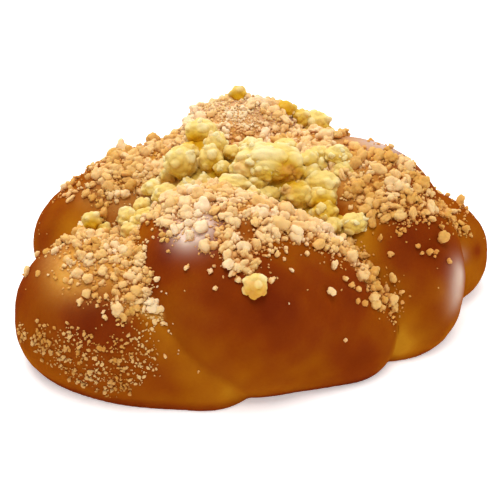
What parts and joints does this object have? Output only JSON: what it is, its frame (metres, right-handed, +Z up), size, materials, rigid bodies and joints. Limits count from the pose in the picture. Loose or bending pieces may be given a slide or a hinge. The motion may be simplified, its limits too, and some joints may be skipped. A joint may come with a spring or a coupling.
{
  "type": "challah",
  "caption": "Small plaited challah: three fat crossed strands baked into one loaf with a flat sole, crumbs on its crust and a heap of butter crumble in the dip",
  "frame": {"origin": "middle of the loaf's outline, on the sole", "axes": "+X along the loaf, towards the end that shows at the right of the picture; +Y across it, away from the picture's camera; +Z up"},
  "size_m": [0.1522, 0.1263, 0.0581],
  "materials": {
    "crust": null,
    "streusel": null
  },
  "bodies": {
    "root": {"bread": "crust", "streusel_heap": "streusel"}
  },
  "joints": []
}
